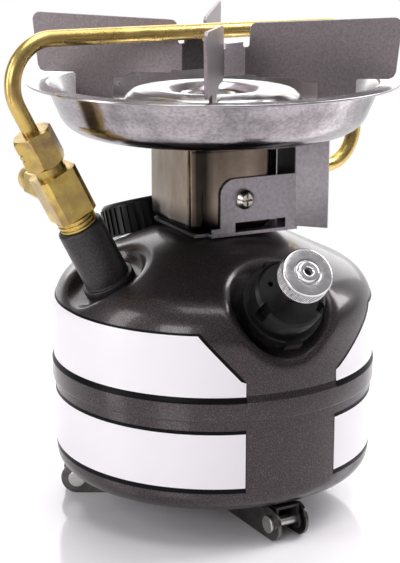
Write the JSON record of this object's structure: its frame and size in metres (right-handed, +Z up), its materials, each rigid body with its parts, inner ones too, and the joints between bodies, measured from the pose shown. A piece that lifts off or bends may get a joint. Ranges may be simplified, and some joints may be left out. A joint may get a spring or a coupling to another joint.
{
  "type": "gasoline camping stove",
  "caption": "Compact gasoline stove: round fuel tank with hand pump and folding legs, preheat tube looped over a burner bowl, and a wing-shaped sheet pot support.",
  "frame": {"origin": "on the tank axis at floor level, under the folded legs", "axes": "+Z up along the tank axis, -Y towards the pump side seen from the front, +X to the right of that view"},
  "size_m": [0.1154, 0.116, 0.1519],
  "materials": {
    "tank_paint": "dark charcoal metallic paint with fine flake, satin gloss",
    "boss_paint": "satin charcoal paint",
    "brass_tube": "drawn brass, heat stained",
    "brass_fitting": "machined brass, brownish patina",
    "bowl_steel": "pressed stainless sheet, mottled",
    "crown_steel": "polished stainless",
    "wing_steel": "dull sheet steel",
    "box_steel": "heat tinted stainless",
    "bracket_steel": "matte grey sheet steel",
    "screw_steel": "bright plated",
    "plated_steel": "plated steel",
    "knob_metal": "bright turned aluminium",
    "black_plastic": "satin black",
    "cup_leather": "oiled",
    "gasket_rubber": "matte",
    "leg_steel": "dull plated sheet steel"
  },
  "bodies": {
    "stove": {"tank_lower": "tank_paint", "tank_upper": "tank_paint", "pump_neck": "boss_paint", "pump_barrel": "plated_steel", "pump_check_valve": "brass_fitting", "pump_cap": "black_plastic", "filler_neck": "plated_steel", "valve_boss": "boss_paint", "fuel_pickup": "brass_tube", "valve_body": "brass_fitting", "valve_bonnet": "brass_fitting", "generator_nut": "brass_fitting", "generator_tube": "brass_tube", "generator_jet": "brass_fitting", "base_plate": "bracket_steel", "centre_stud": "plated_steel", "centre_nut": "plated_steel", "burner_box": "box_steel", "bracket": "bracket_steel", "bracket_screw": "screw_steel", "burner_bowl": "bowl_steel", "flame_rings_flat": "bowl_steel", "flame_rings_wave": "bowl_steel", "burner_crown": "crown_steel", "burner_screw": "plated_steel", "pot_support_front": "wing_steel", "pot_support_back": "wing_steel", "leg_brackets": "boss_paint", "leg_pins": "plated_steel"},
    "plunger": {"pump_rod": "plated_steel", "pump_cup": "cup_leather"},
    "pump_knob": {"pump_knob": "knob_metal"},
    "control": {"valve_stem": "plated_steel", "control_lever": "brass_fitting"},
    "filler_seal": {"filler_gasket": "gasket_rubber"},
    "filler_cap": {"filler_cap": "black_plastic"},
    "leg_front": {"leg_front": "leg_steel"},
    "leg_back": {"leg_back": "leg_steel"},
    "leg_left": {"leg_left": "leg_steel"}
  },
  "joints": [
    {"name": "pump_stroke", "type": "slide", "parent": "stove", "child": "plunger", "axis": [0.2785, -0.7255, 0.6293], "range_m": [-0.007, 0.026]},
    {"name": "pump_knob_turn", "type": "hinge", "parent": "plunger", "child": "pump_knob", "pos_m": [0.02034, -0.03992, 0.0736], "axis": [0.2785, -0.7255, 0.6293], "range_deg": [-360, 0]},
    {"name": "control_turn", "type": "hinge", "parent": "stove", "child": "control", "pos_m": [-0.04416, -0.0255, 0.10329], "axis": [-0.5, 0.866, 0], "range_deg": [0, 110]},
    {"name": "filler_turn", "type": "hinge", "parent": "filler_seal", "child": "filler_cap", "pos_m": [-0.02121, 0.02528, 0.0784], "axis": [-0.1986, 0.2367, 0.9511], "range_deg": [0, 720]},
    {"name": "filler_lift", "type": "slide", "parent": "stove", "child": "filler_seal", "axis": [-0.1986, 0.2367, 0.9511], "range_m": [0, 0.006]},
    {"name": "leg_front_fold", "type": "hinge", "parent": "stove", "child": "leg_front", "pos_m": [0.02175, -0.03767, 0.0051], "axis": [-0.866, -0.5, 0], "range_deg": [0, 180]},
    {"name": "leg_back_fold", "type": "hinge", "parent": "stove", "child": "leg_back", "pos_m": [0.02175, 0.03767, 0.0051], "axis": [0.866, -0.5, 0], "range_deg": [0, 180]},
    {"name": "leg_left_fold", "type": "hinge", "parent": "stove", "child": "leg_left", "pos_m": [-0.0435, 0, 0.0051], "axis": [0, 1, 0], "range_deg": [0, 180]}
  ],
  "couplings": [
    {"joint": "filler_lift", "follows": "filler_turn", "m_per_rad": 0.00047746}
  ]
}
